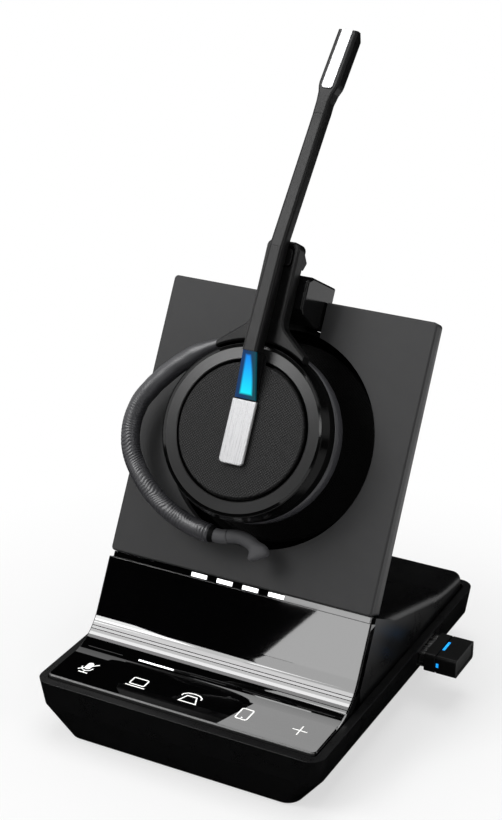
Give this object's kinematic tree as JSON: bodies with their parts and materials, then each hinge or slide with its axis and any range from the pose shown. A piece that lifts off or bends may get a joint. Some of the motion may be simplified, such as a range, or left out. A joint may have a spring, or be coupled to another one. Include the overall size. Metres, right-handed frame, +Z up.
{
  "type": "wireless headset on charging base",
  "caption": "Single-ear wireless headset with boom microphone and ear hook, docked on a desktop charging base with a tilted touch panel and a USB dongle in its side.",
  "frame": {"origin": "middle of the base underside, on the desk", "axes": "+Z up, +X to the user's right where the dongle is, -Y towards the user"},
  "size_m": [0.104, 0.114, 0.1924],
  "materials": {
    "base_black": "satin",
    "panel_gloss": "gloss",
    "plate_grey": "satin",
    "rubber": "matte",
    "steel": "brushed",
    "board": "satin",
    "lamp": "gloss",
    "mesh": "matte",
    "recess_black": "gloss",
    "cup_black": "satin",
    "ring_grey": "satin",
    "disc_black": "matte",
    "leather": "satin",
    "silver": "brushed",
    "lens_blue": "gloss",
    "gold": "polished",
    "battery": "satin",
    "plug_metal": "polished"
  },
  "bodies": {
    "base": {"base_tray": "base_black", "foot_pad": "rubber", "ballast_plate": "steel", "case_screws": "steel", "touch_panel": "panel_gloss", "touch_board": "board", "panel_light_guides": "lamp", "top_housing": "base_black", "main_board": "board", "side_usb_socket": "plug_metal", "line_sockets": "base_black", "rear_usb_socket": "plug_metal", "power_inlet": "base_black", "upright_plate": "plate_grey", "upright_back": "base_black", "upright_screws": "steel", "status_strip": "recess_black", "status_lenses": "lamp", "recess_dish": "recess_black", "recess_mesh": "mesh", "cradle_shell": "recess_black", "cradle_magnet": "steel", "cradle_board": "board"},
    "headset": {"cup_housing": "cup_black", "cup_ring": "ring_grey", "speaker_baffle": "cup_black", "speaker_driver": "cup_black", "headset_board": "board", "ear_pad": "leather", "speaker_screen": "mesh", "stem_housing": "cup_black", "stem_back": "cup_black", "charge_contacts": "gold", "stem_battery": "battery", "stem_magnet_plate": "steel", "key_switch": "cup_black", "hook_pivot": "cup_black"},
    "boom": {"boom_disc": "disc_black", "hub_clip": "steel", "boom_neck": "cup_black", "status_lens": "lens_blue", "boom_lower": "cup_black", "boom_arm": "cup_black", "mic_head": "cup_black", "mic_capsule": "silver", "mic_strip": "silver"},
    "call_key": {"call_button": "silver"},
    "stem_key": {"stem_button": "cup_black"},
    "ear_hook": {"hook_wire": "steel", "hook_sleeve": "leather", "hook_collar": "rubber", "hook_tip": "rubber"},
    "dongle": {"dongle_shell": "base_black", "dongle_end": "recess_black", "dongle_plug": "plug_metal", "dongle_board": "base_black", "dongle_light": "lens_blue"},
    "sprung_contacts": {"contact_pins": "gold"}
  },
  "joints": [
    {"name": "headset_lift_off", "type": "slide", "parent": "base", "child": "headset", "axis": [0, -0.878, 0.4787], "range_m": [0, 0.12]},
    {"name": "boom_turn", "type": "hinge", "parent": "headset", "child": "boom", "pos_m": [0, -0.01522, 0.09158], "axis": [0, -0.878, 0.4787], "range_deg": [-120, 120]},
    {"name": "call_key_press", "type": "slide", "parent": "boom", "child": "call_key", "axis": [0, 0.878, -0.4787], "range_m": [0, 0.00025], "stiffness_N_per_m": 900},
    {"name": "stem_key_press", "type": "slide", "parent": "headset", "child": "stem_key", "axis": [0, 0.878, -0.4787], "range_m": [0, 0.0003], "stiffness_N_per_m": 900},
    {"name": "ear_hook_swing", "type": "hinge", "parent": "headset", "child": "ear_hook", "pos_m": [-0.0088, 0.00705, 0.1086], "axis": [-1, 0, 0], "range_deg": [0, 10]},
    {"name": "dongle_pull_out", "type": "slide", "parent": "base", "child": "dongle", "axis": [1, 0, 0], "range_m": [0, 0.02]},
    {"name": "contact_press", "type": "slide", "parent": "base", "child": "sprung_contacts", "axis": [0, 0.878, -0.4787], "range_m": [0, 0.0007], "stiffness_N_per_m": 300}
  ]
}
